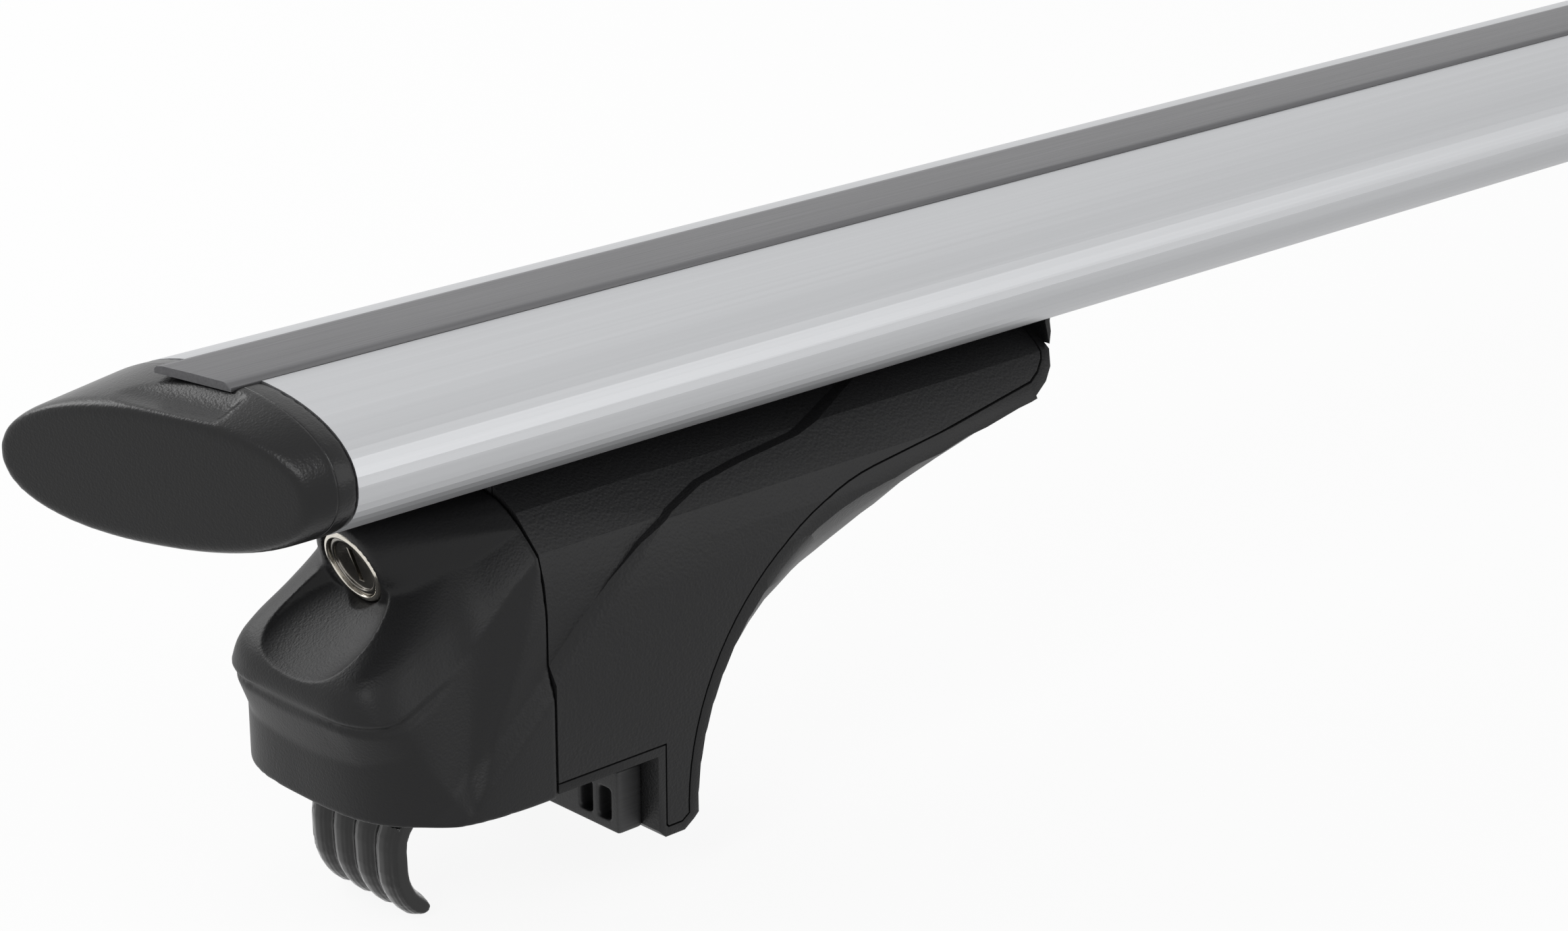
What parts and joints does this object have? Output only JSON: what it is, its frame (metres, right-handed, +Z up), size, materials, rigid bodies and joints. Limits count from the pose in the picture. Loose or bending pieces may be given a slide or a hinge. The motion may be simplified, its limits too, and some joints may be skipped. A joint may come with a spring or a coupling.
{
  "type": "roof rack crossbar",
  "caption": "Wing section roof crossbar with cushion strip, swept end caps and lockable clamp feet for raised roof rails.",
  "frame": {"origin": "midway between the two feet and the two edges of the bar, on the plane that the clamp jaws stand on", "axes": "+X along the bar, +Y across it from the leading to the trailing edge, +Z up"},
  "size_m": [1.2604, 0.0798, 0.1245],
  "materials": {
    "anodised_aluminium": "silver anodised, satin",
    "strip_rubber": "grey EPDM, fine long grain",
    "cap_plastic": "black moulded, fine grain",
    "body_plastic": "black moulded, fine grain",
    "panel_plastic": "black moulded, coarser grain",
    "cover_plastic": "black moulded, fine grain",
    "lock_nickel": "bright nickel plate",
    "zinc_steel": "zinc plated",
    "jaw_coat": "glossy black dip coat over steel",
    "pad_rubber": "black rubber"
  },
  "bodies": {
    "bar": {"bar": "anodised_aluminium", "cushion_strip": "strip_rubber", "end_cap_left": "cap_plastic", "end_cap_right": "cap_plastic"},
    "foot_left": {"foot_body_left": "body_plastic", "side_panel_front_left": "panel_plastic", "side_panel_rear_left": "panel_plastic", "clamp_nut_left": "zinc_steel", "leg_pad_left": "pad_rubber", "rail_pad_left": "pad_rubber", "channel_nuts_left": "zinc_steel", "foot_screws_left": "zinc_steel"},
    "cover_left": {"cover_left": "cover_plastic", "lock_sleeve_left": "lock_nickel"},
    "lock_left": {"lock_barrel_left": "lock_nickel", "lock_cam_left": "zinc_steel"},
    "jaw_left": {"clamp_jaw_left": "jaw_coat", "bolt_washer_left": "zinc_steel"},
    "bolt_left": {"clamp_bolt_left": "zinc_steel"},
    "foot_right": {"foot_body_right": "body_plastic", "side_panel_front_right": "panel_plastic", "side_panel_rear_right": "panel_plastic", "clamp_nut_right": "zinc_steel", "leg_pad_right": "pad_rubber", "rail_pad_right": "pad_rubber", "channel_nuts_right": "zinc_steel", "foot_screws_right": "zinc_steel"},
    "cover_right": {"cover_right": "cover_plastic", "lock_sleeve_right": "lock_nickel"},
    "lock_right": {"lock_barrel_right": "lock_nickel", "lock_cam_right": "zinc_steel"},
    "jaw_right": {"clamp_jaw_right": "jaw_coat", "bolt_washer_right": "zinc_steel"},
    "bolt_right": {"clamp_bolt_right": "zinc_steel"}
  },
  "joints": [
    {"name": "foot_slide_left", "type": "slide", "parent": "bar", "child": "foot_left", "axis": [1, 0, 0], "range_m": [0, 0.15]},
    {"name": "cover_slide_left", "type": "slide", "parent": "foot_left", "child": "cover_left", "axis": [-1, 0, 0], "range_m": [0, 0.045]},
    {"name": "lock_turn_left", "type": "hinge", "parent": "cover_left", "child": "lock_left", "pos_m": [-0.5734, 0, 0.0755], "axis": [-0.9397, 0, -0.342], "range_deg": [0, 90]},
    {"name": "jaw_slide_left", "type": "slide", "parent": "foot_left", "child": "jaw_left", "axis": [1, 0, 0], "range_m": [0, 0.01]},
    {"name": "bolt_turn_left", "type": "hinge", "parent": "jaw_left", "child": "bolt_left", "pos_m": [-0.5706, 0, 0.046], "axis": [1, 0, 0], "range_deg": [0, 2881]},
    {"name": "foot_slide_right", "type": "slide", "parent": "bar", "child": "foot_right", "axis": [-1, 0, 0], "range_m": [0, 0.15]},
    {"name": "cover_slide_right", "type": "slide", "parent": "foot_right", "child": "cover_right", "axis": [1, 0, 0], "range_m": [0, 0.045]},
    {"name": "lock_turn_right", "type": "hinge", "parent": "cover_right", "child": "lock_right", "pos_m": [0.5734, 0, 0.0755], "axis": [-0.9397, 0, 0.342], "range_deg": [0, 90]},
    {"name": "jaw_slide_right", "type": "slide", "parent": "foot_right", "child": "jaw_right", "axis": [-1, 0, 0], "range_m": [0, 0.01]},
    {"name": "bolt_turn_right", "type": "hinge", "parent": "jaw_right", "child": "bolt_right", "pos_m": [0.5706, 0, 0.046], "axis": [-1, 0, 0], "range_deg": [0, 2881]}
  ],
  "couplings": [
    {"joint": "bolt_turn_left", "follows": "jaw_slide_left", "rad_per_m": 5026.5},
    {"joint": "bolt_turn_right", "follows": "jaw_slide_right", "rad_per_m": 5026.5}
  ]
}
